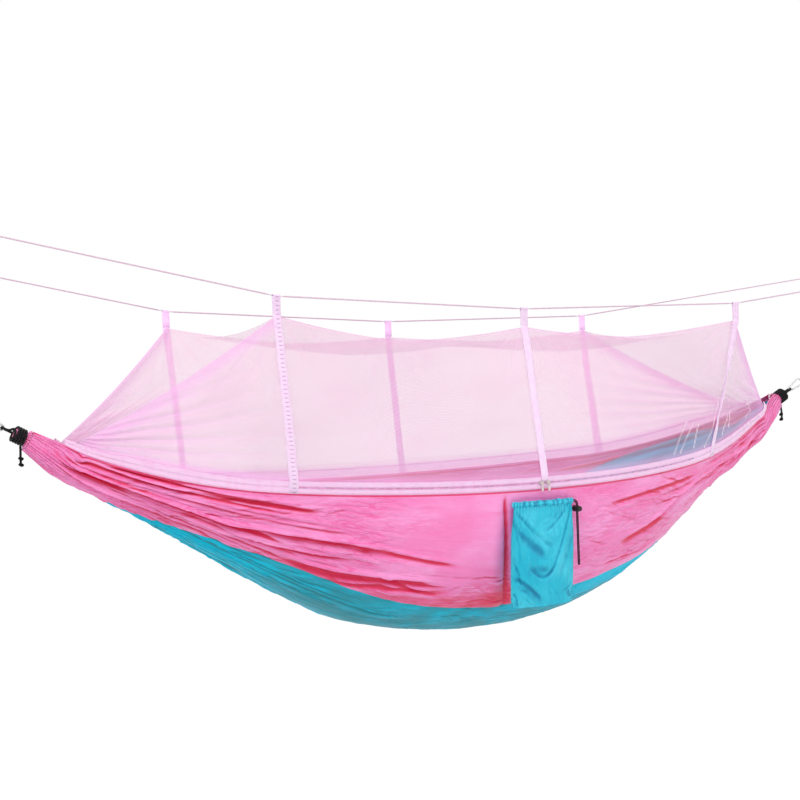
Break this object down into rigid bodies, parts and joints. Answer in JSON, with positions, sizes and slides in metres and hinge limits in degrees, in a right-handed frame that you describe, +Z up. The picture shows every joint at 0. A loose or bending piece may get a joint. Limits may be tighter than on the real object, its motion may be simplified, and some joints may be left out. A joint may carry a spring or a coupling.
{
  "type": "hammock tent",
  "caption": "Gathered-end camping hammock with a zipped insect-net canopy hung from two ridge lines, snap hooks at both ends and a stuff pouch on its side.",
  "frame": {"origin": "where the left snap hook bears on what holds it: the inner side of its outer bow", "axes": "+X along the hammock from the left hook to the right one, +Z up, -Y the side with the zip and the pouch"},
  "size_m": [3.1093, 0.8793, 1.0351],
  "materials": {
    "pink_nylon": "satin",
    "turquoise_nylon": "satin",
    "net": "matte",
    "pale_webbing": "matte",
    "pale_line": "matte",
    "black_rope": "matte",
    "black_plastic": "satin",
    "zip_plastic": "satin",
    "plated_steel": "brushed"
  },
  "bodies": {
    "hammock": {"side_panel_near": "pink_nylon", "side_panel_far": "pink_nylon", "bottom_panel": "turquoise_nylon", "end_channel_left": "pink_nylon", "end_channel_right": "pink_nylon", "end_rope_left": "black_rope", "end_rope_right": "black_rope", "net_wall_near": "net", "net_wall_far": "net", "net_roof": "net", "net_end_left": "net", "net_end_right": "net", "rim_band_upper_near": "pale_webbing", "rim_band_lower_near": "pale_webbing", "rim_band_far": "pale_webbing", "zip_row_upper": "zip_plastic", "zip_row_lower": "zip_plastic", "zip_stop_left": "zip_plastic", "zip_stop_right": "zip_plastic", "strap_near_left": "pale_webbing", "strap_near_middle": "pale_webbing", "strap_near_right": "pale_webbing", "strap_far_left": "pale_webbing", "strap_far_middle": "pale_webbing", "strap_far_right": "pale_webbing", "ridge_line_near": "pale_line", "ridge_line_far": "pale_line", "ridge_loop_near_left": "pale_line", "ridge_loop_near_right": "pale_line", "ridge_loop_far_left": "pale_line", "ridge_loop_far_right": "pale_line", "pouch_body": "turquoise_nylon", "pouch_hem": "turquoise_nylon", "pouch_drawstring": "black_rope"},
    "hook_left": {"carabiner_left": "plated_steel", "gate_pin_left": "plated_steel"},
    "gate_left": {"carabiner_gate_left": "plated_steel", "gate_spring_left": "plated_steel"},
    "hook_right": {"carabiner_right": "plated_steel", "gate_pin_right": "plated_steel"},
    "gate_right": {"carabiner_gate_right": "plated_steel", "gate_spring_right": "plated_steel"},
    "zip_runner_left": {"zip_slider_left": "plated_steel"},
    "zip_tab_left": {"zip_pull_left": "plated_steel"},
    "zip_runner_right": {"zip_slider_right": "plated_steel"},
    "zip_tab_right": {"zip_pull_right": "plated_steel"},
    "cord_lock": {"cord_lock_barrel": "black_plastic", "cord_lock_spring": "plated_steel"},
    "lock_plunger": {"cord_lock_plunger": "black_plastic"}
  },
  "joints": [
    {"name": "hook_left_swing", "type": "hinge", "parent": "hammock", "child": "hook_left", "pos_m": [0.04636, 0, -0.02465], "axis": [0.4695, 0, 0.8829], "range_deg": [-70, 70]},
    {"name": "gate_left_open", "type": "hinge", "parent": "hook_left", "child": "gate_left", "pos_m": [0.03334, 0, -0.02536], "axis": [0, 1, 0], "range_deg": [0, 28], "stiffness_Nm_per_rad": 0.08, "springref_deg": -20.05},
    {"name": "hook_right_swing", "type": "hinge", "parent": "hammock", "child": "hook_right", "pos_m": [2.45937, 0, -0.02465], "axis": [-0.4695, 0, 0.8829], "range_deg": [-70, 70]},
    {"name": "gate_right_open", "type": "hinge", "parent": "hook_right", "child": "gate_right", "pos_m": [2.47239, 0, -0.02536], "axis": [0, -1, 0], "range_deg": [0, 28], "stiffness_Nm_per_rad": 0.08, "springref_deg": -20.05},
    {"name": "zip_slider_left_run", "type": "hinge", "parent": "hammock", "child": "zip_runner_left", "pos_m": [1.25286, 0.93756, 0.01556], "axis": [0, -0.1736, 0.9848], "range_deg": [-24.5, 0]},
    {"name": "zip_pull_left_swing", "type": "hinge", "parent": "zip_runner_left", "child": "zip_tab_left", "pos_m": [1.26795, -0.43482, -0.21576], "axis": [-1, 0, 0], "range_deg": [-10, 150]},
    {"name": "zip_slider_right_run", "type": "hinge", "parent": "hammock", "child": "zip_runner_right", "pos_m": [1.25286, 0.93756, 0.01556], "axis": [0, -0.1736, 0.9848], "range_deg": [0, 22.5]},
    {"name": "zip_pull_right_swing", "type": "hinge", "parent": "zip_runner_right", "child": "zip_tab_right", "pos_m": [1.28807, -0.43446, -0.2157], "axis": [-1, 0, 0], "range_deg": [-10, 150]},
    {"name": "cord_lock_slide", "type": "slide", "parent": "hammock", "child": "cord_lock", "axis": [0, 0, -1], "range_m": [0, 0.12]},
    {"name": "lock_plunger_press", "type": "slide", "parent": "cord_lock", "child": "lock_plunger", "axis": [0, 1, 0], "range_m": [0, 0.0025], "stiffness_N_per_m": 800, "springref_m": -0.003, "deforming": ["cord_lock_spring"]}
  ]
}
